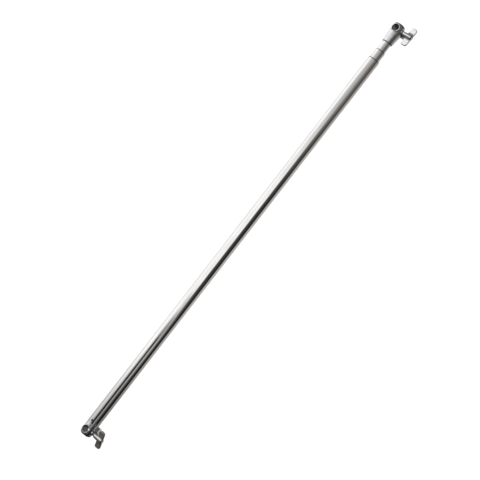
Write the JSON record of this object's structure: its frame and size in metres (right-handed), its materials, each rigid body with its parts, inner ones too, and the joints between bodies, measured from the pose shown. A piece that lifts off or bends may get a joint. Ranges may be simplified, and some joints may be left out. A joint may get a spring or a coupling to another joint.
{
  "type": "telescopic pull up bar",
  "caption": "Telescoping chrome cross bar with nested twist-lock tubes and, on each end, a bored clamp eye with a wing screw.",
  "frame": {"origin": "centre of the near eye's bore, on the bar's centre line", "axes": "+X along the bar from the near eye to the far eye, +Z along the bores of both eyes, wing screws towards -Y"},
  "size_m": [1.215, 0.063, 0.0306],
  "materials": {
    "chrome_tube": "polished chrome plate on drawn steel tube",
    "chrome_casting": "bright chrome plate on die-cast metal, slightly softened by the casting",
    "screw_steel": "turned and zinc-plated steel",
    "pin_steel": "rolled spring steel, dull",
    "black_nylon": "moulded black nylon, matt",
    "white_acetal": "moulded natural acetal, satin"
  },
  "bodies": {
    "main": {"near_eye_casting": "chrome_casting", "near_eye_roll_pin": "pin_steel", "main_tube": "chrome_tube", "main_lip_bush": "black_nylon"},
    "near_pad": {"near_clamp_pad": "screw_steel"},
    "near_screw": {"near_wing_handle": "chrome_casting", "near_wing_stud": "screw_steel"},
    "mid_sleeve": {"mid_expander_sleeve": "black_nylon"},
    "mid_cone": {"mid_cone_nut": "white_acetal"},
    "mid": {"mid_tube": "chrome_tube", "mid_lip_bush": "black_nylon", "mid_lock_plug": "white_acetal", "mid_lock_stud": "screw_steel", "mid_stop_nut": "screw_steel"},
    "inner_sleeve": {"inner_expander_sleeve": "black_nylon"},
    "inner_cone": {"inner_cone_nut": "white_acetal"},
    "inner": {"inner_tube": "chrome_tube", "inner_lock_plug": "white_acetal", "inner_lock_stud": "screw_steel", "inner_stop_nut": "screw_steel", "far_eye_casting": "chrome_casting", "far_eye_roll_pin": "pin_steel"},
    "far_pad": {"far_clamp_pad": "screw_steel"},
    "far_screw": {"far_wing_handle": "chrome_casting", "far_wing_stud": "screw_steel"}
  },
  "joints": [
    {"name": "mid_extend", "type": "slide", "parent": "main", "child": "mid_sleeve", "axis": [1, 0, 0], "range_m": [0, 0.9618]},
    {"name": "mid_twist", "type": "hinge", "parent": "mid_sleeve", "child": "mid", "pos_m": [0.09, 0, 0], "axis": [1, 0, 0], "range_deg": [-360, 360]},
    {"name": "mid_cone_draw", "type": "slide", "parent": "mid_sleeve", "child": "mid_cone", "axis": [1, 0, 0], "range_m": [-0.00126, 0.00126]},
    {"name": "inner_extend", "type": "slide", "parent": "mid", "child": "inner_sleeve", "axis": [1, 0, 0], "range_m": [0, 0.9249]},
    {"name": "inner_twist", "type": "hinge", "parent": "inner_sleeve", "child": "inner", "pos_m": [0.15, 0, 0], "axis": [1, 0, 0], "range_deg": [-360, 360]},
    {"name": "inner_cone_draw", "type": "slide", "parent": "inner_sleeve", "child": "inner_cone", "axis": [1, 0, 0], "range_m": [-0.00126, 0.00126]},
    {"name": "near_pad_feed", "type": "slide", "parent": "main", "child": "near_pad", "axis": [0, -1, 0], "range_m": [-0.00476, 0.00151]},
    {"name": "near_screw_turn", "type": "hinge", "parent": "near_pad", "child": "near_screw", "pos_m": [0, -0.03, 0], "axis": [0, -1, 0], "range_deg": [-1368, 432]},
    {"name": "far_pad_feed", "type": "slide", "parent": "inner", "child": "far_pad", "axis": [0, -1, 0], "range_m": [-0.00126, 0.00501]},
    {"name": "far_screw_turn", "type": "hinge", "parent": "far_pad", "child": "far_screw", "pos_m": [1.17, -0.03, 0], "axis": [0, -1, 0], "range_deg": [-360, 1440]}
  ],
  "couplings": [
    {"joint": "mid_cone_draw", "follows": "mid_twist", "m_per_rad": -0.00019894},
    {"joint": "inner_cone_draw", "follows": "inner_twist", "m_per_rad": -0.00019894},
    {"joint": "near_pad_feed", "follows": "near_screw_turn", "m_per_rad": 0.00019894},
    {"joint": "far_pad_feed", "follows": "far_screw_turn", "m_per_rad": 0.00019894}
  ]
}
